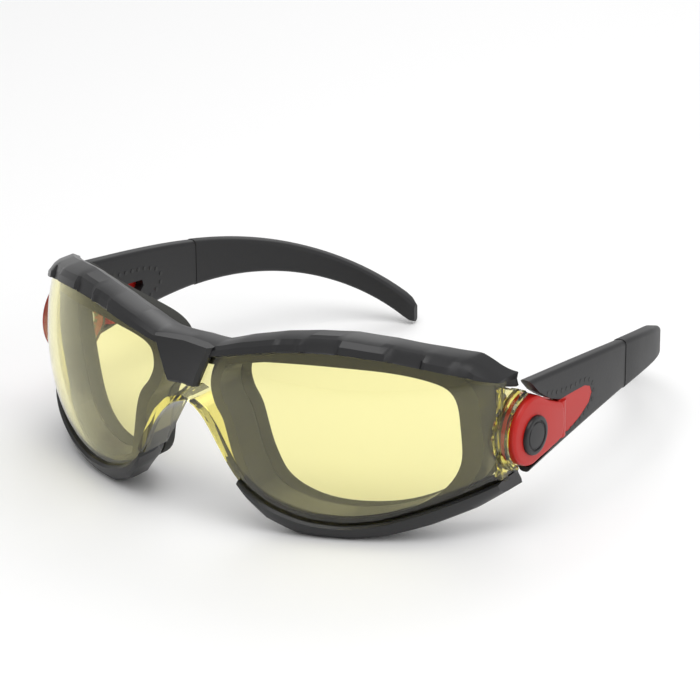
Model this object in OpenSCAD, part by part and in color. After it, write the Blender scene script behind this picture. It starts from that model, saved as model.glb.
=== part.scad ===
// Sealed safety glasses with a one-piece lens and folding, tilting arms.
// +X is the wearer's left, +Y runs back along the arms and +Z is up.
// They stand on the lower rims and the arm tips, at z = 0.

/* [Lens] */
// Outer radius of the sphere that each eye's half follows
lens_r = 64; // [63:0.5:66]
// Distance of each sphere's centre from the middle plane
eye_x = 13.7; // [12:0.1:15]
// Height of the sphere centres above the surface it stands on
eye_z = 29; // [28:0.5:30]
// Wall thickness of the lens
lens_t = 2.2; // [1.8:0.1:2.4]
// How far the nose flanges run back from the lens front
flange_depth = 11; // [8:0.5:13]

/* [Gasket frame] */
// How far the brow and rims stand proud of the lens front
frame_proud = 1.2; // [0.6:0.1:2]
// Depth of the frame, front to back, behind the lens
frame_depth = 8; // [6:0.5:9]
// Depth of the foam behind the frame
foam_depth = 5; // [3:0.5:6]
// Half width of the nose saddle at its top
saddle_top = 8.9; // [8:0.1:10]
// Half width of the nose saddle at its foot
saddle_foot = 4.5; // [3.5:0.1:5.5]
// Depth of the scalloped vents in the brow
vent_depth = 1.2; // [0.6:0.1:1.8]

/* [Tilt pivot] */
// Distance of the pivot axis behind the nose bridge
pivot_y = 41.3; // [41:0.1:42]
// Height of the pivot axis
pivot_z = 25.2; // [25:0.1:25.6]
// Radius of the round front of the red block
block_r = 8.8; // [8.6:0.1:8.9]
// Thickness of the red block
block_t = 3.5; // [3.4:0.1:3.6]
// Radius of the black pivot button
button_r = 5; // [4.6:0.1:5.2]
// How far the button stands proud of the block
button_proud = 1; // [0.6:0.1:1.2]
// Radius of the pivot screw's shank
screw_r = 1.5; // [1.3:0.1:1.6]

/* [Fold hinge] */
// Radius of the steel hinge pin
pin_r = 0.8; // [0.7:0.05:0.9]
// Radius of the knuckle about the pin
knuckle_r = 3; // [2.8:0.1:3]
// Height of the knuckle
knuckle_h = 9.5; // [9:0.1:9.5]
// Distance of the hinge pin behind the nose bridge
pin_y = 55; // [54.8:0.1:55.4]

/* [Arms] */
// Length of an arm, measured along its curve
arm_length = 123; // [120:1:126]
// Thickness of an arm at its front
arm_t = 3.4; // [3.2:0.1:3.4]
// Thickness of the soft ear end
ear_t = 4.4; // [4:0.1:5]
// Heading of the arm at its front, towards the middle plane
arm_toe = 2.5; // [2:0.1:3]
// How much further the heading has turned at the tip
arm_hook = 75; // [70:1:78]
// Share of the arm's length at which the ear grip starts
grip_start = 0.42; // [0.38:0.01:0.46]

/* [Hidden] */
$fn = 96;

// The nose bridge sits this far ahead of the middle of the whole object
mid_y = 71.85;
eye_y = 62.5;
gap = 0.3;
fit_gap = 0.05;
big = 200;

// Planes across the hinge, outwards from the wearer's temple
lug_in = 68.2;
lug_out = lug_in + lens_t;
block_in = lug_out + gap;
block_out = block_in + block_t;
button_seat = 1.4;
block_rise = 1;
pin_x = block_out - knuckle_r;
knuckle_z = 20;
knuckle_top = knuckle_z + knuckle_h;

// Front outlines of the left half as [x, z], each in order away from the nose
brow_line = [[0, 46.4], [9, 47], [16, 49.5], [25, 51.8], [33, 52.8], [41, 53], [49, 51.7],
    [58, 49.1], [66, 46], [71.6, 41.2]];
lens_top_line = [[0, 43.4], [8, 43.9], [16, 46.1], [26, 48.3], [34, 49.2], [42, 49.1], [51, 47.8],
    [60, 45], [71.5, 39.6]];
lens_foot_line = [[15.4, 12.2], [22.5, 6.9], [31, 4], [40, 3.4], [48, 4.7], [57, 8], [66, 12],
    [71.5, 15]];
rim_line = [[14.4, 12.6], [17.2, 8.4], [21.5, 3.6], [28.5, 0.3], [34, -0.5], [41, -0.2], [49, 1.2],
    [57, 3.9], [65, 7.6], [71.4, 12.2]];
nose_line = [[0, 31], [4.6, 29.6], [8.2, 25.6], [11.6, 19.4], [15.4, 12.2]];
opening_line = [[10.4, 38], [12.4, 42.2], [20, 44.4], [34, 45.4], [48, 44.6], [57, 42], [61.5, 38],
    [63, 30], [62.6, 20], [58, 12.6], [49, 7.8], [38, 6.2], [28, 7], [20.5, 11], [17.4, 18],
    [14.6, 29], [11.4, 34]];
foam_rim = 3.4;

// Points on a smooth curve through p, n to a span
function spline(a, b, c, d, t) = 0.5 * (2 * b + (c - a) * t + (2 * a - 5 * b + 4 * c - d) * t * t
    + (3 * b - a - 3 * c + d) * t * t * t);
function smooth(p, n = 3) = [for (i = [0 : len(p) - 2]) for (k = [0 : n - 1])
    spline(p[max(i - 1, 0)], p[i], p[i + 1], p[min(i + 2, len(p) - 1)], k / n), p[len(p) - 1]];
function loop(p, n = 3) = let (m = len(p)) [for (i = [0 : m - 1]) for (k = [0 : n - 1])
    spline(p[(i + m - 1) % m], p[i], p[(i + 1) % m], p[(i + 2) % m], k / n)];
function backwards(p) = [for (i = [len(p) - 1 : -1 : 0]) p[i]];
function moved(p, v) = [for (q = p) q + v];

// The arm's path: heading, height of the top edge, and height of the section at share s
steps = 26;
arm_start = [block_in + block_t / 2, 37.6];
function heading(s) = arm_toe + arm_hook * s * s * s;
function arm_point(i) = i == 0 ? arm_start
    : arm_point(i - 1) + arm_length / steps
        * [-sin(heading((i - 0.5) / steps)), cos(heading((i - 0.5) / steps))];
function arm_top(s) = 39.8 - 12 * s - 21.4 * pow(s, 3.6);
function arm_foot(s) = 15.4 + 18 * s - 33.4 * pow(s, 3.2);
function arm_thick(s) = arm_t + (ear_t - arm_t) * min(1, max(0, (s - grip_start) / 0.2));

// Eight-sided section of the arm at step i, made smaller all round by inset
function arm_ring(i, inset) = let (
        s = i / steps,
        p = arm_point(i),
        out = [cos(heading(s)), sin(heading(s))],
        end = i == steps ? 0.6 : 1,
        w = (arm_thick(s) / 2 - inset) * end,
        top = arm_top(s) - inset - (1 - end) * 3,
        foot = arm_foot(s) + inset,
        soft = min(1.1, w * 0.7)
    )
    [for (c = [[-w, foot + soft], [-w + soft, foot], [w - soft, foot], [w, foot + soft],
        [w, top - soft], [w - soft, top], [-w + soft, top], [-w, top - soft]])
        [p[0] + out[0] * c[0], p[1] + out[1] * c[0], max(c[1], 0)]];

// A closed tube of arm sections from step a to step b
module arm_sweep(a, b, inset = 0) {
    rings = [for (i = [a : b]) arm_ring(i, inset)];
    n = len(rings);
    polyhedron(
        [for (r = rings) each r],
        concat(
            [[for (k = [0 : 7]) k]],
            [for (i = [0 : n - 2]) for (k = [0 : 7])
                [i * 8 + k, (i + 1) * 8 + k, (i + 1) * 8 + (k + 1) % 8]],
            [for (i = [0 : n - 2]) for (k = [0 : 7])
                [i * 8 + k, (i + 1) * 8 + (k + 1) % 8, i * 8 + (k + 1) % 8]],
            [[for (k = [7 : -1 : 0]) (n - 1) * 8 + k]]
        )
    );
}

// Moves a piece from the nose bridge's frame to the middle of the object
module placed() {
    translate([0, -mid_y, 0]) children();
}
module right_side() {
    mirror([1, 0, 0]) children();
}
module both_sides() {
    children();
    mirror([1, 0, 0]) children();
}
// A front outline [x, z] carried right through from front to back
module through(points) {
    translate([0, big / 2, 0]) rotate([90, 0, 0]) linear_extrude(big) polygon(points);
}
// A side outline [y, z] carried across from x = a to x = b
module across(points, a, b) {
    translate([a, 0, 0]) rotate([90, 0, 90]) linear_extrude(b - a) polygon(points);
}
module eye_ball(r, back = 0) {
    translate([eye_x, eye_y + back, eye_z]) sphere(r);
}
module pivot_disc(r, a, b, rise = 0) {
    translate([a, pivot_y, pivot_z + rise]) rotate([0, 90, 0]) cylinder(h = b - a, r = r);
}
module upright(r, z, h) {
    translate([pin_x, pin_y, z]) cylinder(h = h, r = r);
}

// Lens: two sphere halves, nose flanges and side lugs in one moulding
lens_outline = concat(smooth(lens_top_line), backwards(smooth(lens_foot_line)),
    backwards(smooth(nose_line)));
flange_t = 1.8;
lug_line = [[31, 38.6], [36, 38.2], [41, 35.6], [46, 31.6], [49.4, 28.6], [50.6, 25.2], [49.6, 20.8],
    [46, 17.2], [40, 15.8], [31, 16]];
cup_in = block_r + 0.45;
cup_out = cup_in + 1.5;
cup_edge = lug_out + 2.6;
cup_from = 98;
arm_clear = 34.2;
cup_to = 240;

module lens_half() {
    difference() {
        intersection() {
            through(lens_outline);
            difference() {
                eye_ball(lens_r);
                eye_ball(lens_r - lens_t);
            }
            translate([0, -big / 2, -big / 2]) cube([72, big / 2 + eye_y - 20, big]);
        }
        // room for the hinge block and for the arm's upper prong as it tilts
        pivot_disc(cup_in, lug_out, lug_out + 10, block_rise);
        translate([lug_out, arm_clear, 0]) cube([10, 20, big]);
    }
    intersection() {
        through(concat(smooth(nose_line), backwards(moved(smooth(nose_line), [flange_t, 0.6])),
            [[0, nose_line[0][1] + flange_t]]));
        eye_ball(lens_r - 0.4);
        translate([0, -big / 2, 0]) cube([big, big / 2 + flange_depth, big]);
    }
    difference() {
        intersection() {
            across(smooth(lug_line), lug_in, lug_out);
            eye_ball(lens_r);
        }
        pivot_disc(screw_r + fit_gap, lug_in - 1, lug_out + 1);
    }
    intersection() {
        difference() {
            pivot_disc(cup_out, lug_in, cup_edge, block_rise);
            pivot_disc(cup_in, lug_out, cup_edge + 1, block_rise);
            pivot_disc(cup_in - 2, lug_in - 1, cup_edge, block_rise);
        }
        across(concat([[pivot_y, pivot_z]], [for (a = [cup_from : (cup_to - cup_from) / 8 : cup_to])
            [pivot_y + 16 * cos(a), pivot_z + 16 * sin(a)]]), lug_in - 1, cup_edge + 1);
    }
}
module lens() {
    color([0.97, 0.88, 0.42, 0.6]) placed() both_sides() lens_half();
}

// Gasket frame: brow bar, lower rims and nose saddle, hooked over the lens edge
frame_outline = concat(smooth(brow_line), backwards(smooth(rim_line)), backwards(smooth(nose_line)));
seat_outline = concat([[-1, 43.55]], moved(smooth(lens_top_line), [0, 0.15]), [[76, 38], [76, 16]],
    backwards(moved(smooth(lens_foot_line), [0, -0.15])), backwards(moved(smooth(nose_line), [0, -3])));
ring_end = 67.6;
nose_clear = 4.2;
vents = [[32, 40], [50.5, 57]];

module gasket_half() {
    difference() {
        intersection() {
            through(frame_outline);
            difference() {
                eye_ball(lens_r + frame_proud);
                eye_ball(lens_r - lens_t - 1, frame_depth);
            }
            translate([0, -big / 2, 0]) cube([big, big / 2 + 45, big]);
        }
        through(loop(opening_line));
        difference() {
            through(seat_outline);
            intersection() {
                eye_ball(lens_r - lens_t - 0.1);
                translate([0, -big / 2, -1]) cube([ring_end, big, big]);
            }
        }
        // room for the head of the pivot screw
        pivot_disc(screw_head_r + 0.4, lug_in - 1.8, lug_out);
        // the nose space between the two rings
        through(concat([[-1, 40.5]], [[4, 40.5]], moved(smooth(nose_line), [nose_clear, 1.2]), [[-1, 8]]));
        for (v = vents) {
            translate([v[0], -big / 2, 40]) difference() {
                cube([v[1] - v[0], big, 20]);
                translate([-v[0], big / 2, -40]) eye_ball(lens_r + frame_proud - vent_depth);
            }
        }
    }
}
saddle_front = -2.7;
module saddle() {
    difference() {
        intersection() {
            through([[-saddle_top, 46.4], [saddle_top, 47], [saddle_foot, 35.8], [-saddle_foot, 35.8]]);
            translate([-big / 2, saddle_front, 0]) cube([big, 12 - saddle_front, big]);
        }
        intersection() {
            through(concat([[-1, 43.55]], moved(smooth(lens_top_line), [0, 0.15]), [[71, 20], [-1, 20]]));
            translate([-1, 0, 0]) cube([big, big, big]);
            eye_ball(lens_r + 0.1);
        }
        mirror([1, 0, 0]) intersection() {
            through(concat([[-1, 43.55]], moved(smooth(lens_top_line), [0, 0.15]), [[71, 20], [-1, 20]]));
            translate([-1, 0, 0]) cube([big, big, big]);
            eye_ball(lens_r + 0.1);
        }
    }
}
module gasket_frame() {
    color([0.2, 0.2, 0.21]) placed() {
        both_sides() gasket_half();
        saddle();
    }
}

// Foam seal behind each ring of the frame
module foam_gasket() {
    color([0.24, 0.24, 0.25]) difference() {
        intersection() {
            translate([0, big / 2, 0]) rotate([90, 0, 0]) linear_extrude(big)
                offset(r = foam_rim, $fn = 24) polygon(loop(opening_line, 2));
            difference() {
                eye_ball(lens_r - lens_t - 1.1, frame_depth + 0.1);
                eye_ball(lens_r - lens_t - 1.1, frame_depth + foam_depth);
            }
            translate([0, -big / 2, 0]) cube([big, big / 2 + 46, big]);
        }
        through(loop(opening_line));
    }
}
module foam_gasket_left() {
    placed() foam_gasket();
}
module foam_gasket_right() {
    placed() right_side() foam_gasket();
}

// Hinge block: red, round at the front, tapering to the knuckle of the fold hinge
block_taper = [[pivot_y + 2, 34.7], [pivot_y + 4.5, 33.7], [48.4, 31.9], [pin_y, knuckle_top],
    [pin_y, knuckle_z], [48.4, 18.7], [pivot_y + 1, 17.6], [pivot_y, 19]];
ring_r = 7;
ring_t = 1.1;
module hinge_block() {
    color([0.84, 0.22, 0.2]) difference() {
        union() {
            pivot_disc(block_r, block_in, block_out, block_rise);
            across(block_taper, block_in, block_out);
            upright(knuckle_r, knuckle_z, knuckle_h);
        }
        pivot_disc(screw_r, block_in - 1, block_out + 1);
        pivot_disc(button_r + fit_gap, block_out - button_seat, block_out + 1);
        pivot_disc(ring_r, block_in - 1, block_in + ring_t);
        upright(pin_r + fit_gap, knuckle_z - 1, knuckle_h + 2);
    }
}
module hinge_block_left() {
    placed() hinge_block();
}
module hinge_block_right() {
    placed() right_side() hinge_block();
}

// Pivot button: black cap with index ticks round its edge
ticks = 3;
module pivot_button() {
    color([0.16, 0.16, 0.17]) difference() {
        pivot_disc(button_r, block_out - button_seat, block_out + button_proud);
        for (a = [-28 : 56 / (ticks - 1) : 28]) {
            translate([block_out + button_proud - 0.5, pivot_y, pivot_z]) rotate([a, 0, 0])
                translate([0, -0.3, button_r - 1.3]) cube([1, 0.6, 2]);
        }
    }
}
module pivot_button_left() {
    placed() pivot_button();
}
module pivot_button_right() {
    placed() right_side() pivot_button();
}

// Pivot screw: its head bears on the lug and its shank grips the block
screw_head_r = 2.7;
screw_head_t = 1.3;
module pivot_screw() {
    color([0.75, 0.76, 0.78]) difference() {
        union() {
            pivot_disc(screw_r, lug_in - fit_gap, block_out - button_seat);
            pivot_disc(screw_head_r, lug_in - fit_gap - screw_head_t, lug_in - fit_gap);
        }
        for (a = [0, 90]) {
            translate([lug_in - 2, pivot_y, pivot_z]) rotate([a, 0, 0])
                translate([0, -1.5, -0.3]) cube([1.2, 3, 0.6]);
        }
    }
}
module pivot_screw_left() {
    placed() pivot_screw();
}
module pivot_screw_right() {
    placed() right_side() pivot_screw();
}

// Ratchet ring: toothed ring in the block's inner face that clicks the tilt steps
ring_teeth = 24;
module ratchet_ring() {
    color([0.3, 0.3, 0.32]) difference() {
        pivot_disc(ring_r - fit_gap, block_in - 0.2, block_in + ring_t - fit_gap);
        pivot_disc(ring_r - 2.6, block_in - 1, block_in + ring_t + 1);
        for (k = [0 : ring_teeth - 1]) {
            translate([block_in - 0.5, pivot_y, pivot_z]) rotate([k * 360 / ring_teeth, 0, 0])
                translate([0, -0.35, ring_r - 2]) cube([0.7, 0.7, 3]);
        }
    }
}
module ratchet_ring_left() {
    placed() ratchet_ring();
}
module ratchet_ring_right() {
    placed() right_side() ratchet_ring();
}

// Hinge pin: pressed into the arm's two ears, running free in the knuckle
upper_ear = 2.9;
lower_ear = 1.6;
pin_z = knuckle_z - gap - lower_ear;
pin_h = knuckle_h + 2 * gap + upper_ear + lower_ear;
module hinge_pin() {
    color([0.75, 0.76, 0.78]) upright(pin_r, pin_z, pin_h);
}
module hinge_pin_left() {
    placed() hinge_pin();
}
module hinge_pin_right() {
    placed() right_side() hinge_pin();
}

// Temple arm: forked over the block, with a pocket and a window for the inlay
fork_line = [[30, 10], [30, 60], [36, 42.4], [38.2, 40.8], [43.6, 35.6], [46.4, 33.7], [49.5, 31.9],
    [pin_y, knuckle_top + gap], [pin_y, knuckle_z - gap], [48.4, 18.3], [42, 17.1], [40, 16.9],
    [38.8, 10]];
inlay_line = [[pin_y, knuckle_top + 0.1], [61, 29.9], [66.6, 29.6], [69.6, 28.4], [70.4, 26.4],
    [69, 24.4], [64.6, 22.2], [59.6, 20.7], [pin_y, knuckle_z - 0.1]];
window_line = [[61, 28.6], [68.4, 28.2], [68.8, 26.4], [67, 24.7], [61, 23.6]];
pocket_floor = 1.2;
grip_step = round(grip_start * steps);
module temple_arm() {
    color([0.23, 0.23, 0.24]) difference() {
        arm_sweep(0, grip_step);
        across(fork_line, lug_in - 5, block_out + 3);
        upright(knuckle_r + gap, knuckle_z - gap, knuckle_h + 2 * gap);
        across(inlay_line, block_in + pocket_floor, block_out + 3);
        across(window_line, lug_in - 5, block_out + 3);
        upright(pin_r, pin_z - 1, pin_h + 2);
    }
}
module temple_arm_left() {
    placed() temple_arm();
}
module temple_arm_right() {
    placed() right_side() temple_arm();
}

// Temple inlay: red insert that fills the arm's pocket and shows in its window
module temple_inlay() {
    color([0.84, 0.22, 0.2]) difference() {
        intersection() {
            arm_sweep(0, grip_step);
            across(inlay_line, block_in + pocket_floor, block_out + 3);
        }
        upright(knuckle_r + gap, knuckle_z - 5, knuckle_h + 10);
    }
}
module temple_inlay_left() {
    placed() temple_inlay();
}
module temple_inlay_right() {
    placed() right_side() temple_inlay();
}

// Ear grip: softer ear end moulded onto the arm, a step thicker all round
grip_step_out = 0.15;
module ear_grip() {
    color([0.2, 0.2, 0.21]) arm_sweep(grip_step, steps, -grip_step_out);
}
module ear_grip_left() {
    placed() ear_grip();
}
module ear_grip_right() {
    placed() right_side() ear_grip();
}

lens();
gasket_frame();
foam_gasket_left();
foam_gasket_right();
hinge_block_left();
hinge_block_right();
pivot_button_left();
pivot_button_right();
pivot_screw_left();
pivot_screw_right();
ratchet_ring_left();
ratchet_ring_right();
hinge_pin_left();
hinge_pin_right();
temple_arm_left();
temple_arm_right();
temple_inlay_left();
temple_inlay_right();
ear_grip_left();
ear_grip_right();
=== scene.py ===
import bisect
import math
import bmesh
import bpy
from mathutils import Matrix, Vector


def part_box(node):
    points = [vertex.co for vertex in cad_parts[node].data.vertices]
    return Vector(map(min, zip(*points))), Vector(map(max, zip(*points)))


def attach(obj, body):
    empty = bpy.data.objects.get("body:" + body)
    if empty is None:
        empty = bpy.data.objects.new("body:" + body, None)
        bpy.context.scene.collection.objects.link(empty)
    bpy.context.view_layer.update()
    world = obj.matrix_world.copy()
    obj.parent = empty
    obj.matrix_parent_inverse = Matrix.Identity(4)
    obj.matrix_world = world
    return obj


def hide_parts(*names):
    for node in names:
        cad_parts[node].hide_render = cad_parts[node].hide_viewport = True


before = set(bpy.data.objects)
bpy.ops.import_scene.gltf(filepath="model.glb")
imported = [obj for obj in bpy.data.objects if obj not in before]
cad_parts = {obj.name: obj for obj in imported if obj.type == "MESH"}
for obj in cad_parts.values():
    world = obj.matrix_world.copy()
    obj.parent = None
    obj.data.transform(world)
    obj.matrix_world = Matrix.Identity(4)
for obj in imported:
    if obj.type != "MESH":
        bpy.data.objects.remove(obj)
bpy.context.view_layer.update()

# Camera and light
# A long lens from the wearer's front left, a little above, and soft white light
# from large lamps over a pale floor. Sizes are millimetres back from the front of
# the nose bridge, and put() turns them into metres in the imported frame.
MM = 0.001
PIN_BEHIND_BRIDGE = 55
pin_low, pin_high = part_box("hinge_pin_left")
BRIDGE_Y = (pin_low[1] + pin_high[1]) / 2 / MM - PIN_BEHIND_BRIDGE


def put(x, y, z):
    return (x * MM, (y + BRIDGE_Y) * MM, z * MM)


VIEW_AZIMUTH, VIEW_HEIGHT, VIEW_ROLL = 35.78, 20.80, -0.40
CAMERA_PLACE = (457.1, -565.8, 319.6)
FOCAL_LENGTH, SENSOR_WIDTH = 165, 36
FLOOR_REACH = 4
WORLD_LIGHT = 0.62
az, el, roll = (math.radians(a) for a in (VIEW_AZIMUTH, VIEW_HEIGHT, VIEW_ROLL))
ahead = Vector((-math.sin(az) * math.cos(el), math.cos(az) * math.cos(el), -math.sin(el)))
across = Vector((math.cos(az), math.sin(az), 0))
upward = across.cross(ahead)
camera_x = across * math.cos(roll) + upward * math.sin(roll)
camera_y = upward * math.cos(roll) - across * math.sin(roll)
camera_data = bpy.data.cameras.new("camera")
camera_data.lens = FOCAL_LENGTH
camera_data.sensor_width = SENSOR_WIDTH
camera_data.clip_start = 0.01
camera = bpy.data.objects.new("camera", camera_data)
turn = Matrix((camera_x, camera_y, -ahead)).transposed().to_4x4()
camera.matrix_world = Matrix.Translation(Vector(put(*CAMERA_PLACE))) @ turn
bpy.context.scene.collection.objects.link(camera)
bpy.context.scene.camera = camera

floor_mesh = bpy.data.meshes.new("floor")
floor_corners = [(x * FLOOR_REACH, y * FLOOR_REACH, 0) for x, y in ((-1, -1), (1, -1), (1, 1), (-1, 1))]
floor_mesh.from_pydata(floor_corners, [], [(0, 1, 2, 3)])
floor = bpy.data.objects.new("floor", floor_mesh)
bpy.context.scene.collection.objects.link(floor)
floor_material = bpy.data.materials.new("pale_floor")
floor_material.use_nodes = True
floor_shader = floor_material.node_tree.nodes["Principled BSDF"]
floor_shader.inputs["Base Color"].default_value = (0.93, 0.93, 0.93, 1)
floor_shader.inputs["Roughness"].default_value = 0.6
floor_mesh.materials.append(floor_material)

world = bpy.data.worlds.new("studio")
world.use_nodes = True
world.node_tree.nodes["Background"].inputs["Color"].default_value = (1, 1, 1, 1)
world.node_tree.nodes["Background"].inputs["Strength"].default_value = WORLD_LIGHT
bpy.context.scene.world = world
bpy.context.scene.view_settings.view_transform = "Standard"
for lamp_name, place, size, power in (("key", (0.15, -0.25, 0.9), 0.7, 4.1),
                                      ("side", (0.9, 0.1, 0.45), 0.5, 1.7),
                                      ("back", (-0.3, 0.8, 0.7), 0.6, 2.0)):
    lamp = bpy.data.lights.new(lamp_name, "AREA")
    lamp.shape = "SQUARE"
    lamp.size = size
    lamp.energy = power
    holder = bpy.data.objects.new(lamp_name, lamp)
    holder.location = place
    holder.rotation_euler = (-Vector(place)).to_track_quat("-Z", "Y").to_euler()
    bpy.context.scene.collection.objects.link(holder)

# Lens
# One moulding of amber polycarbonate: two shallow domes that meet at the nose,
# nose flanges turned back, and a lug with a thick cup rim at each end. It is made
# here of closed shells that overlap.
SIDES = (("left", 1), ("right", -1))
LENS_R, EYE_X, EYE_Y, EYE_Z, LENS_T = 64, 13.7, 62.5, 29, 2.2
LENS_TOP = [(0, 43.4), (8, 43.9), (16, 46.1), (26, 48.3), (34, 49.2), (42, 49.1), (51, 47.8),
            (60, 45), (71.5, 39.6)]
LENS_FOOT = [(0, 31), (4.6, 29.6), (8.2, 25.6), (11.6, 19.4), (15.4, 12.2), (22.5, 6.9), (31, 4),
             (40, 3.4), (48, 4.7), (57, 8), (66, 12), (71.5, 15)]
LUG_IN, LUG_OUT, CUP_EDGE = 68.2, 70.4, 73
PIVOT_Y, PIVOT_Z, BLOCK_RISE, BLOCK_R = 41.3, 25.2, 1, 8.8
LUG = [(33, 39.2), (36, 38.2), (41, 35.6), (46, 31.6), (49.4, 28.6), (50.6, 25.2), (49.6, 20.8),
       (46, 17.2), (40, 15.8), (33, 15.2)]


def make_piece(name, mesh, material, body, slot, *nodes, smooth_angle=35):
    """Cleans a bmesh, turns it into an object and ties it to its body."""
    bmesh.ops.remove_doubles(mesh, verts=mesh.verts, dist=1e-6)
    bmesh.ops.recalc_face_normals(mesh, faces=mesh.faces)
    data = bpy.data.meshes.new(name)
    mesh.to_mesh(data)
    mesh.free()
    piece = bpy.data.objects.new(name, data)
    bpy.context.scene.collection.objects.link(piece)
    data.materials.append(material)
    data.shade_smooth()
    data.set_sharp_from_angle(angle=math.radians(smooth_angle))
    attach(piece, body)
    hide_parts(*nodes)
    return piece


def loft(mesh, rings, closed=False):
    """Joins rings of points into a tube, capped at both ends unless it closes."""
    rows = [[mesh.verts.new(p) for p in ring] for ring in rings]
    size = len(rows[0])
    for i in range(len(rows) if closed else len(rows) - 1):
        here, there = rows[i], rows[(i + 1) % len(rows)]
        for k in range(size):
            mesh.faces.new((here[k], here[(k + 1) % size], there[(k + 1) % size], there[k]))
    if not closed:
        mesh.faces.new(rows[0])
        mesh.faces.new(list(reversed(rows[-1])))


def extrude_side(mesh, outline, x_in, x_out, chamfer=0.0):
    """A side outline of (y, z) carried from x_in to x_out, with a rounded outer edge."""
    cy = sum(p[0] for p in outline) / len(outline)
    cz = sum(p[1] for p in outline) / len(outline)

    def ring(x, inset):
        points = []
        for y, z in outline:
            reach = math.hypot(y - cy, z - cz)
            share = max(0.0, 1 - inset / reach)
            points.append(put(x, cy + (y - cy) * share, cz + (z - cz) * share))
        return points

    step = 1 if x_out > x_in else -1
    rings = [ring(x_in, 0)]
    if chamfer:
        for k in range(5):
            turn = k / 4 * math.pi / 2
            rings.append(ring(x_out - step * chamfer * (1 - math.sin(turn)),
                              chamfer * (1 - math.cos(turn))))
    else:
        rings.append(ring(x_out, 0))
    loft(mesh, rings)


def line_height(line, x):
    """Height at x of a line of (x, z) points, straight between them and held level past its ends."""
    xs = [p[0] for p in line]
    x = min(max(x, xs[0]), xs[-1])
    i = min(max(bisect.bisect_right(xs, x) - 1, 0), len(line) - 2)
    (xa, za), (xb, zb) = line[i], line[i + 1]
    return za + (zb - za) * (x - xa) / (xb - xa)


def curve_height(line, x):
    """Height at x of a smooth curve through the line's points."""
    reach = 2.5
    return sum(line_height(line, x + reach * k / 3) for k in range(-3, 4)) / 7


def dome_y(x, z, radius=LENS_R, back=0.0):
    """Depth of an eye's sphere at (x, z)."""
    reach = radius ** 2 - (abs(x) - EYE_X) ** 2 - (z - EYE_Z) ** 2
    return EYE_Y + back - math.sqrt(max(reach, 1.0))


lens_mesh = bmesh.new()
COLUMNS, ROWS = 64, 24
ANGLE_IN = -math.asin(EYE_X / LENS_R)
ANGLE_OUT = math.asin((70.3 - EYE_X) / LENS_R)
for _, side in SIDES:
    shells = []
    for radius in (LENS_R, LENS_R - LENS_T):
        grid = []
        for i in range(COLUMNS + 1):
            angle = ANGLE_IN + (ANGLE_OUT - ANGLE_IN) * i / COLUMNS
            x = EYE_X + LENS_R * math.sin(angle)
            low = curve_height(LENS_FOOT, x) if x > 3 else line_height(LENS_FOOT, x)
            high = curve_height(LENS_TOP, x)
            inner_x = EYE_X + (x - EYE_X) * (radius / LENS_R)
            inner_x = 0 if i == 0 else inner_x
            grid.append([lens_mesh.verts.new(put(side * inner_x, dome_y(
                inner_x, low + (high - low) * k / ROWS, radius), low + (high - low) * k / ROWS))
                for k in range(ROWS + 1)])
        shells.append(grid)
    outer, inner = shells
    for i in range(COLUMNS):
        for k in range(ROWS):
            for grid in shells:
                lens_mesh.faces.new((grid[i][k], grid[i + 1][k], grid[i + 1][k + 1], grid[i][k + 1]))
        for k in (0, ROWS):
            lens_mesh.faces.new((outer[i][k], outer[i + 1][k], inner[i + 1][k], inner[i][k]))
    for k in range(ROWS):
        lens_mesh.faces.new((outer[-1][k], outer[-1][k + 1], inner[-1][k + 1], inner[-1][k]))
FLANGE_T, FLANGE_BACK = 1.8, 10.8
for _, side in SIDES:
    rings = []
    for i in range(17):
        x = 0.6 + 14.4 * i / 16
        z = line_height(LENS_FOOT, x)
        front = dome_y(x, z, LENS_R - 1)
        rings.append([put(side * x, front, z), put(side * x, FLANGE_BACK, z),
                      put(side * (x + FLANGE_T), FLANGE_BACK, z + 0.8),
                      put(side * (x + FLANGE_T), front + 0.4, z + 0.8)])
    loft(lens_mesh, rings)
    extrude_side(lens_mesh, LUG, side * LUG_IN, side * LUG_OUT, 0.5)
    cup = []
    CUP_FROM, CUP_TO, CUP_IN, CUP_OUT = 98, 240, BLOCK_R + 0.45, BLOCK_R + 1.95
    for i in range(25):
        a = math.radians(CUP_FROM + (CUP_TO - CUP_FROM) * i / 24)
        section = []
        for r, x in ((CUP_IN, LUG_IN + 0.3), (CUP_OUT - 0.2, LUG_IN + 0.3), (CUP_OUT, LUG_OUT),
                     (CUP_OUT, CUP_EDGE - 0.5), (CUP_OUT - 0.5, CUP_EDGE), (CUP_IN + 0.4, CUP_EDGE),
                     (CUP_IN, CUP_EDGE - 0.4)):
            section.append(put(side * x, PIVOT_Y + r * math.cos(a),
                               PIVOT_Z + BLOCK_RISE + r * math.sin(a)))
        cup.append(section)
    loft(lens_mesh, cup)

lens_material = bpy.data.materials.new("amber_polycarbonate")
lens_material.use_nodes = True
lens_tree = lens_material.node_tree
lens_shader = lens_tree.nodes["Principled BSDF"]
lens_shader.inputs["Base Color"].default_value = (0.99, 0.93, 0.44, 1)
lens_shader.inputs["Transmission Weight"].default_value = 1
lens_shader.inputs["IOR"].default_value = 1.58
lens_place = lens_tree.nodes.new("ShaderNodeTexCoord")
lens_haze = lens_tree.nodes.new("ShaderNodeTexNoise")
lens_haze.inputs["Scale"].default_value = 40
lens_polish = lens_tree.nodes.new("ShaderNodeMapRange")
lens_polish.inputs["To Min"].default_value = 0.0
lens_polish.inputs["To Max"].default_value = 0.03
lens_tree.links.new(lens_place.outputs["Object"], lens_haze.inputs["Vector"])
lens_tree.links.new(lens_haze.outputs["Fac"], lens_polish.inputs["Value"])
lens_tree.links.new(lens_polish.outputs["Result"], lens_shader.inputs["Roughness"])
lens = make_piece("amber_lens", lens_mesh, lens_material, "front", "amber_lens", "lens")

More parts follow.
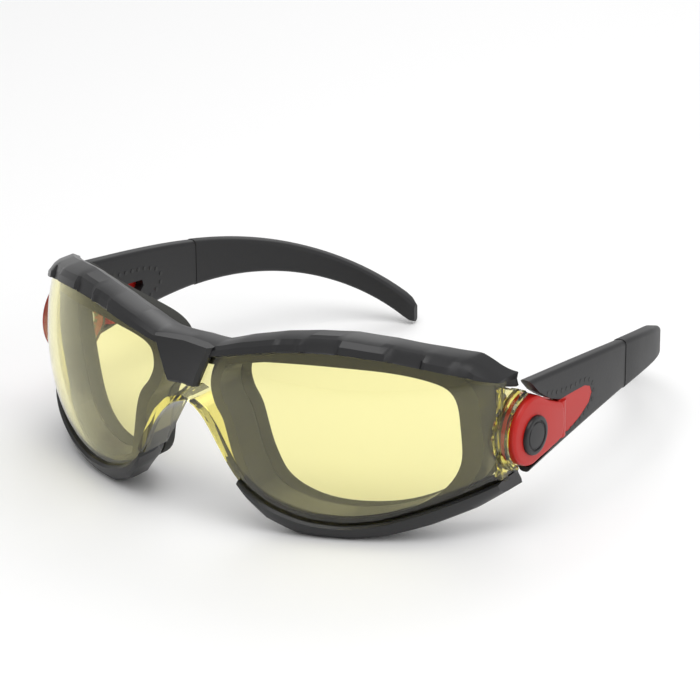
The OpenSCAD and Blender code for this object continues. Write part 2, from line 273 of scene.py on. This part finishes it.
# Gasket frame
# Black nylon moulding hooked over the lens: a brow bar with scalloped vents,
# angular lower rims, side walls round each eye and a saddle over the nose.
PROUD = 1.2
BROW = [(0, 46.4), (9, 47), (16, 49.5), (25, 51.7), (33, 52.7), (41, 52.9), (49, 51.6), (58, 49),
        (66, 45.9), (71.4, 41.2)]
RIM = [(15.2, 12.4), (17.2, 8.4), (21.5, 3.6), (28.5, 0.3), (34, 0), (41, 0), (49, 1.2), (57, 3.9),
       (65, 7.6), (71.3, 12.2)]
OPENING = [(10.4, 38), (12.4, 42.2), (20, 44.4), (34, 45.4), (48, 44.6), (57, 42), (61.5, 38),
           (63, 30), (62.6, 20), (58, 12.6), (49, 7.8), (38, 6.2), (28, 7), (20.5, 11), (17.4, 18),
           (14.6, 29), (11.4, 34)]
VENTS = ((25.5, 31), (32, 40.5), (50.5, 57.5), (62, 66))
WALL_DEPTH = 8


def node_material(name, colour, roughness, bump=0.0, grain=900.0, **sockets):
    """A moulded plastic: fine grain in the surface and in its shine."""
    material = bpy.data.materials.new(name)
    material.use_nodes = True
    tree = material.node_tree
    shader = tree.nodes["Principled BSDF"]
    place = tree.nodes.new("ShaderNodeTexCoord")
    noise = tree.nodes.new("ShaderNodeTexNoise")
    noise.inputs["Scale"].default_value = grain
    noise.inputs["Detail"].default_value = 4
    tree.links.new(place.outputs["Object"], noise.inputs["Vector"])
    wear = tree.nodes.new("ShaderNodeTexNoise")
    wear.inputs["Scale"].default_value = 60
    tree.links.new(place.outputs["Object"], wear.inputs["Vector"])
    shine = tree.nodes.new("ShaderNodeMapRange")
    shine.inputs["To Min"].default_value = roughness * 0.85
    shine.inputs["To Max"].default_value = roughness * 1.15
    tree.links.new(wear.outputs["Fac"], shine.inputs["Value"])
    tree.links.new(shine.outputs["Result"], shader.inputs["Roughness"])
    tint = tree.nodes.new("ShaderNodeMix")
    tint.data_type = "RGBA"
    tint.inputs["A"].default_value = (*[c * 0.9 for c in colour], 1)
    tint.inputs["B"].default_value = (*[min(1, c * 1.1) for c in colour], 1)
    tree.links.new(wear.outputs["Fac"], tint.inputs["Factor"])
    tree.links.new(tint.outputs["Result"], shader.inputs["Base Color"])
    if bump:
        relief = tree.nodes.new("ShaderNodeBump")
        relief.inputs["Strength"].default_value = bump
        relief.inputs["Distance"].default_value = 0.00005
        tree.links.new(noise.outputs["Fac"], relief.inputs["Height"])
        tree.links.new(relief.outputs["Normal"], shader.inputs["Normal"])
    for socket, value in sockets.items():
        shader.inputs[socket.replace("_", " ")].default_value = value
    return material


def vent_cut(x):
    """How deep the brow is scooped at x: soft-ended hollows between raised bars."""
    for i, (start, end) in enumerate(VENTS):
        if start < x < end:
            depth = 1.0 if i in (1, 2) else 0.5
            return depth * min(1, (x - start) / 0.7, (end - x) / 0.7)
    return 0.0


frame_mesh = bmesh.new()
BROW_STATIONS = [70 * i / 110 for i in range(-110, 111)]
brow_rings = []
for station in BROW_STATIONS:
    x = abs(station)
    lens_z = curve_height(LENS_TOP, x)
    top = line_height(BROW, x) * 0.6 + curve_height(BROW, x) * 0.4
    cut = vent_cut(x)
    end = min(1, 0.15 + (70 - x) / 8)
    taper = min(1, 0.35 + (70 - x) / 9)
    tall = (top - lens_z) * taper
    # each point: radius of its sphere, depth behind it, height over the lens edge
    profile = ((LENS_R + 0.4, 0, -0.1), (LENS_R + PROUD - cut, 0, 0.3),
               (LENS_R + PROUD - cut, 0, tall * 0.55), (LENS_R + 0.4 - cut * 0.5, 0, tall * 0.86),
               (LENS_R - 0.6, 0.6, tall), (LENS_R - 2, 3.5, tall * 0.97), (LENS_R - 2, 7, tall * 0.55),
               (LENS_R - 2, 7.8, -1), (LENS_R - 2.6, 7.6, -3), (LENS_R - 2.6, 0.6, -3),
               (LENS_R - 2.3, 0, -1))
    ring = []
    for radius, back, rise in profile:
        z = lens_z + rise
        ring.append(put(station, dome_y(x, z, radius) + back * end, z))
    brow_rings.append(ring)
loft(frame_mesh, brow_rings)

for _, side in SIDES:
    rim_rings = []
    for i in range(91):
        x = 15.4 + 54.2 * i / 90
        lens_z = curve_height(LENS_FOOT, x)
        low = line_height(RIM, x)
        tall = lens_z - low
        end = min(1, 0.2 + (69.6 - x) / 7, (x - 12) / 5)
        profile = ((LENS_R + 0.4, 0, 0.4), (LENS_R + PROUD, 0, -0.15), (LENS_R + PROUD, 0, -tall * 0.5),
                   (LENS_R + 0.7, 0, -tall * 0.9), (LENS_R, 0.3, -tall), (LENS_R - 2, 4, -tall),
                   (LENS_R - 2, 7, -tall * 0.6), (LENS_R - 2, 7.5, 1), (LENS_R - 2.5, 7, 3),
                   (LENS_R - 2.5, 0.6, 3), (LENS_R - 2.3, 0, 1))
        rim_rings.append([put(side * x, dome_y(x, lens_z + rise, radius) + back * end,
                              max(lens_z + rise, 0)) for radius, back, rise in profile])
    loft(frame_mesh, rim_rings)


def loop_points(outline, count):
    """Evenly spread points on a smooth closed curve through an outline of (x, z)."""
    size = len(outline)
    points = []
    for n in range(count):
        at = n * size / count
        i, t = int(at), at - int(at)
        a, b, c, d = (Vector(outline[(i + k) % size]) for k in (-1, 0, 1, 2))
        points.append(0.5 * (2 * b + (c - a) * t + (2 * a - 5 * b + 4 * c - d) * t * t
                             + (3 * b - a - 3 * c + d) * t ** 3))
    return points


def eye_wall(mesh, side, front, back, width, round_by, radius=LENS_R - LENS_T - 0.15):
    """A wall round one eye, from front to back behind the lens, with rounded edges."""
    points = loop_points(OPENING, 96)
    rings = []
    for n, point in enumerate(points):
        along = (points[(n + 1) % 96] - points[n - 1]).normalized()
        out = Vector((along.y * -1, along.x))
        section = ((0, front), (0, back - round_by), (round_by * 0.3, back - round_by * 0.3),
                   (round_by, back), (width - round_by, back), (width, back - round_by), (width, front))
        ring = []
        for away, depth in section:
            x, z = point.x + out.x * away, point.y + out.y * away
            x = max(min(x, 67.5), 1.0)
            ring.append(put(side * x, dome_y(x, z, radius, depth), z))
        rings.append(ring)
    loft(mesh, rings, closed=True)


for _, side in SIDES:
    eye_wall(frame_mesh, side, 0, WALL_DEPTH, 3.0, 0.4)

SADDLE_TOP, SADDLE_FOOT, SADDLE_LOW = 8.9, 4.5, 35.8
saddle_rings = []
for share in (0, 0.06, 0.3, 0.6, 0.85, 1):
    z = SADDLE_LOW + (46.6 - SADDLE_LOW) * share
    half = SADDLE_FOOT + (SADDLE_TOP - SADDLE_FOOT) * share
    thick = 2.0 + 0.6 * share - (0.5 if share == 0 else 0)
    soft = 0.9
    lens_y = dome_y(half, z)
    saddle_rings.append([put(-half, lens_y + 0.3, z), put(-half, lens_y - thick + soft + 0.3, z),
                         put(-half + soft, lens_y - thick, z), put(0, dome_y(0, z) - thick - 0.2, z),
                         put(half - soft, lens_y - thick, z), put(half, lens_y - thick + soft + 0.3, z),
                         put(half, lens_y + 0.3, z), put(0, dome_y(0, z) + 0.4, z)])
loft(frame_mesh, saddle_rings)
frame_black = node_material("black_nylon", (0.016, 0.016, 0.017), 0.34, bump=0.25,
                            Specular_IOR_Level=0.4)
gasket = make_piece("gasket_frame_shell", frame_mesh, frame_black, "front", "black_frame",
                    "gasket_frame", smooth_angle=22)

# Foam gaskets
# Closed-cell foam rings bonded to the back of the frame, rounded where they
# rest on the face, with a matt, finely pored skin.
foam_material = node_material("closed_cell_foam", (0.03, 0.03, 0.026), 0.95, bump=1.0, grain=1800)
for name, side in SIDES:
    foam_mesh = bmesh.new()
    eye_wall(foam_mesh, side, WALL_DEPTH + 0.1, WALL_DEPTH + 4.9, 3.2, 1.3)
    foam = make_piece("foam_ring_" + name, foam_mesh, foam_material, "front", "foam",
                      "foam_gasket_" + name, smooth_angle=60)

# Hinge blocks, pivot buttons and hidden fixings
# Red satin nylon block that tilts on the lug, made here without its bores, and its
# black button with a raised ring. Inside are a steel screw and pin and an acetal ring.
BLOCK_IN, BLOCK_OUT, KNUCKLE_R = 70.7, 74.2, 3.0
KNUCKLE_LOW, KNUCKLE_HIGH = 20.0, 29.5
BUTTON_R = 5.0
block_outline = [(PIVOT_Y + BLOCK_R * math.cos(a), PIVOT_Z + BLOCK_RISE + BLOCK_R * math.sin(a))
                 for a in (math.radians(75 + 195 * k / 30) for k in range(31))]
block_outline += [(45, 18.1), (48.4, 18.7), (52.6, 19.6), (54.6, 20.3), (55.2, 22), (55.6, 24.7),
                  (55.2, 27.5), (54.4, 29.4), (52.4, 30.2), (48.4, 31.9), (45.8, 33.5)]
red_material = node_material("red_nylon", (0.47, 0.012, 0.008), 0.34, bump=0.12,
                             Specular_IOR_Level=0.35)
button_material = node_material("button_black", (0.008, 0.008, 0.009), 0.32, bump=0.1,
                                Specular_IOR_Level=0.4)
steel = node_material("turned_steel", (0.6, 0.61, 0.62), 0.25, bump=0.2, Metallic=1.0)
acetal = node_material("ratchet_acetal", (0.08, 0.08, 0.085), 0.45, bump=0.2)
for name, side in SIDES:
    block_mesh = bmesh.new()
    extrude_side(block_mesh, block_outline, side * BLOCK_IN, side * BLOCK_OUT, 0.9)
    knuckle = []
    for z in (KNUCKLE_LOW, KNUCKLE_HIGH):
        knuckle.append([put(side * (BLOCK_OUT - KNUCKLE_R - 0.05 + (KNUCKLE_R - 0.1) * math.cos(a)),
                            PIN_BEHIND_BRIDGE + (KNUCKLE_R - 0.1) * math.sin(a), z)
                        for a in (2 * math.pi * k / 32 for k in range(32))])
    loft(block_mesh, knuckle)
    make_piece("red_block_" + name, block_mesh, red_material, "tilt_" + name, "red_plastic",
               "hinge_block_" + name, smooth_angle=40)

    button_mesh = bmesh.new()
    button_rings = []
    for r, x in ((BUTTON_R, 73.9), (BUTTON_R, 74.7), (BUTTON_R - 0.15, 75.0), (BUTTON_R - 0.5, 75.15),
                 (BUTTON_R - 1.1, 75.15), (BUTTON_R - 1.3, 74.85), (BUTTON_R - 1.5, 74.85),
                 (BUTTON_R - 1.8, 75.1), (1.5, 75.18), (0.4, 75.18)):
        button_rings.append([put(side * x, PIVOT_Y + r * math.cos(a), PIVOT_Z + r * math.sin(a))
                             for a in (2 * math.pi * k / 48 for k in range(48))])
    loft(button_mesh, button_rings)
    make_piece("button_" + name, button_mesh, button_material, "tilt_" + name, "black_button",
               "pivot_button_" + name)
    for node, finish in (("pivot_screw_", steel), ("hinge_pin_", steel), ("ratchet_ring_", acetal)):
        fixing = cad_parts[node + name]
        fixing.data.materials.clear()
        fixing.data.materials.append(finish)

# Arms, red inlays and ear grips
# Forked black nylon arm with rows of dimples round a red inlay, a window on
# its inner face, and a softer ear end moulded on with a small step.
ARM_LENGTH, ARM_T, EAR_T, ARM_TOE, ARM_HOOK, STEPS = 123, 3.4, 4.4, 2.5, 75, 78
GRIP_SHARE = 11 / 26
arm_x, arm_y = (BLOCK_IN + BLOCK_OUT) / 2, 37.6
arm_path = []
for i in range(STEPS + 1):
    arm_path.append((arm_x, arm_y))
    middle = (i + 0.5) / STEPS
    heading = math.radians(ARM_TOE + ARM_HOOK * middle ** 3)
    arm_x -= ARM_LENGTH / STEPS * math.sin(heading)
    arm_y += ARM_LENGTH / STEPS * math.cos(heading)


def arm_ring(side, i, swell=0.0, shrink=1.0):
    """One rounded section of the arm."""
    s = i / STEPS
    x, y = arm_path[i]
    heading = math.radians(ARM_TOE + ARM_HOOK * s ** 3)
    out_x, out_y = math.cos(heading), math.sin(heading)
    half = ((ARM_T + (EAR_T - ARM_T) * min(1, max(0, (s - GRIP_SHARE) / 0.2))) / 2 + swell) * shrink
    top = 39.8 - 12 * s - 21.4 * s ** 3.6 + swell
    foot = 15.4 + 18 * s - 33.4 * s ** 3.2 - swell
    middle, tall = (top + foot) / 2, (top - foot) / 2 * (0.5 + 0.5 * shrink)
    soft = min(1.3, half * 0.8)
    ring = []
    for cx, cz, start in ((1, 1, 0), (-1, 1, 90), (-1, -1, 180), (1, -1, 270)):
        for k in range(5):
            a = math.radians(start + 22.5 * k)
            across_by = cx * (half - soft) + soft * math.cos(a)
            rise = cz * (tall - soft) + soft * math.sin(a)
            ring.append(put(side * (x + out_x * across_by), y + out_y * across_by,
                            max(middle + rise, 0)))
    return ring


def arm_object(side, name, first, last, swell=0.0, round_end=False):
    mesh = bmesh.new()
    rings = [arm_ring(side, i, swell) for i in range(first, last + 1)]
    if round_end:
        rings = rings[:-2] + [arm_ring(side, last - 1, swell, 0.92), arm_ring(side, last, 0, 0.55)]
    loft(mesh, rings)
    bmesh.ops.recalc_face_normals(mesh, faces=mesh.faces)
    data = bpy.data.meshes.new(name)
    mesh.to_mesh(data)
    mesh.free()
    made = bpy.data.objects.new(name, data)
    bpy.context.scene.collection.objects.link(made)
    return made


def cutter(side, outline, x_in, x_out):
    mesh = bmesh.new()
    extrude_side(mesh, outline, side * x_in, side * x_out)
    bmesh.ops.recalc_face_normals(mesh, faces=mesh.faces)
    data = bpy.data.meshes.new("cutter")
    mesh.to_mesh(data)
    mesh.free()
    made = bpy.data.objects.new("cutter", data)
    bpy.context.scene.collection.objects.link(made)
    return made


def apply_modifiers(piece):
    """Bakes a piece's modifiers into its own mesh."""
    graph = bpy.context.evaluated_depsgraph_get()
    graph.update()
    baked = bpy.data.meshes.new_from_object(piece.evaluated_get(graph))
    piece.modifiers.clear()
    piece.data = baked


def carve(piece, operation, tools):
    for tool in tools:
        step = piece.modifiers.new("carve", "BOOLEAN")
        step.operation = operation
        step.solver = "EXACT"
        step.object = tool
    apply_modifiers(piece)
    for tool in tools:
        bpy.data.objects.remove(tool)


FORK = [(30, 10), (30, 60), (36, 42.4), (38.2, 40.8), (43.6, 35.6), (46.4, 33.7), (49.5, 31.9),
        (55, 29.8), (55.3, 28.5), (56, 24.7), (55.3, 20.9), (55, 19.7), (48.4, 18.3), (42, 17.1),
        (40, 16.9), (38.8, 10)]
INLAY = [(53.2, 30), (57, 30.05), (61, 29.9), (66.6, 29.6), (69.4, 28.5), (70.3, 26.6), (69, 24.4),
         (64.6, 22.2), (59.6, 20.7), (55.5, 19.9), (54, 21), (56, 24.7), (54.6, 28.6)]
WINDOW = [(61, 28.6), (68.2, 28.2), (68.7, 26.4), (67, 24.7), (61, 23.6)]
arm_black = node_material("black_arm_nylon", (0.016, 0.016, 0.017), 0.42, bump=0.35,
                          Specular_IOR_Level=0.35)
grip_black = node_material("soft_ear_black", (0.014, 0.014, 0.015), 0.5, bump=0.5, grain=1400,
                           Specular_IOR_Level=0.35)
# Near-black painted shade for the dimple discs: it stands for the shadow inside each pit.
pit_painted_shade = node_material("dimple_shadow", (0.004, 0.004, 0.004), 0.35, bump=0.1)
GRIP_STEP = round(GRIP_SHARE * STEPS)


def ready(piece, material, body, slot, *nodes):
    """Gives a carved piece its finish and ties it to its body."""
    mesh = bmesh.new()
    mesh.from_mesh(piece.data)
    name = piece.name
    bpy.data.objects.remove(piece)
    make_piece(name + "_shell", mesh, material, body, slot, *nodes)


for name, side in SIDES:
    arm = arm_object(side, "arm_" + name, 0, GRIP_STEP)
    carve(arm, "DIFFERENCE", [cutter(side, FORK, 60, 80), cutter(side, INLAY, 71.9, 80),
                              cutter(side, WINDOW, 60, 80)])
    ready(arm, arm_black, "arm_" + name, "black_arm", "temple_arm_" + name)
    inlay = arm_object(side, "inlay_" + name, 0, GRIP_STEP, swell=-0.05)
    carve(inlay, "INTERSECT", [cutter(side, INLAY, 71.95, 80)])
    ready(inlay, red_material, "arm_" + name, "red_plastic", "temple_inlay_" + name)
    grip = arm_object(side, "ear_end_" + name, GRIP_STEP, STEPS, swell=0.14, round_end=True)
    ready(grip, grip_black, "arm_" + name, "soft_grip", "ear_grip_" + name)


# Dimple rows
# Small round pits moulded in a row round the inlay, outside and inside. Each is stood in for by a dark
# disc about 0.1 mm proud of the arm, at an even pitch;
# the disc's near-black colour is painted shade standing for the shadow inside the pit.
DIMPLE_R, DIMPLE_PITCH = 0.62, 2.35
OUTER_ROW = [(48.2, 33.6), (53, 32.4), (58.6, 31.6), (66, 31.2), (69.6, 30.2), (71.6, 28),
             (71.4, 25.2), (69.2, 23.2), (64.4, 21.2), (57.6, 19.9)]
INNER_ROW = [(57, 32.2), (63, 31.8), (69, 31.2), (73.4, 30.2), (75.6, 28), (75.4, 25.2), (72.6, 23),
             (68, 21.8), (62, 20.6)]


def row_tree(material):
    tree = bpy.data.node_groups.new("dimple_row", "GeometryNodeTree")
    tree.interface.new_socket("Row", in_out="INPUT", socket_type="NodeSocketGeometry")
    pitch = tree.interface.new_socket("Pitch", in_out="INPUT", socket_type="NodeSocketFloat")
    radius = tree.interface.new_socket("Pit radius", in_out="INPUT", socket_type="NodeSocketFloat")
    tree.interface.new_socket("Pits", in_out="OUTPUT", socket_type="NodeSocketGeometry")
    entry = tree.nodes.new("NodeGroupInput")
    leave = tree.nodes.new("NodeGroupOutput")
    curve = tree.nodes.new("GeometryNodeMeshToCurve")
    spread = tree.nodes.new("GeometryNodeCurveToPoints")
    spread.mode = "LENGTH"
    pit = tree.nodes.new("GeometryNodeMeshCylinder")
    pit.inputs["Vertices"].default_value = 14
    pit.inputs["Depth"].default_value = 0.0004
    lay = tree.nodes.new("GeometryNodeInstanceOnPoints")
    lay.inputs["Rotation"].default_value = (0, math.pi / 2, 0)
    real = tree.nodes.new("GeometryNodeRealizeInstances")
    paint = tree.nodes.new("GeometryNodeSetMaterial")
    paint.inputs["Material"].default_value = material
    link = tree.links.new
    link(entry.outputs["Row"], curve.inputs["Mesh"])
    link(curve.outputs["Curve"], spread.inputs["Curve"])
    link(entry.outputs["Pitch"], spread.inputs["Length"])
    link(entry.outputs["Pit radius"], pit.inputs["Radius"])
    link(spread.outputs["Points"], lay.inputs["Points"])
    link(pit.outputs["Mesh"], lay.inputs["Instance"])
    link(lay.outputs["Instances"], real.inputs["Geometry"])
    link(real.outputs["Geometry"], paint.inputs["Geometry"])
    link(paint.outputs["Geometry"], leave.inputs["Pits"])
    return tree, pitch.identifier, radius.identifier


dimple_tree, pitch_socket, radius_socket = row_tree(pit_painted_shade)


def face_x(y, outer):
    """Outer or inner face of the arm at depth y."""
    i = min(range(GRIP_STEP + 1), key=lambda k: abs(arm_path[k][1] - y))
    slope = math.tan(math.radians(ARM_TOE + ARM_HOOK * (i / STEPS) ** 3))
    return arm_path[i][0] - (y - arm_path[i][1]) * slope + (1 if outer else -1) * (ARM_T / 2 - 0.11)


for name, side in SIDES:
    for place, row in (("outer", OUTER_ROW), ("inner", INNER_ROW)):
        points = [put(side * face_x(y, place == "outer"), y, z) for y, z in row]
        data = bpy.data.meshes.new("row")
        data.from_pydata(points, [(k, k + 1) for k in range(len(points) - 1)], [])
        strip = bpy.data.objects.new("dimples_" + place + "_" + name, data)
        bpy.context.scene.collection.objects.link(strip)
        layer = strip.modifiers.new("row", "NODES")
        layer.node_group = dimple_tree
        layer[pitch_socket] = DIMPLE_PITCH * MM
        layer[radius_socket] = DIMPLE_R * MM
        apply_modifiers(strip)
        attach(strip, "arm_" + name)
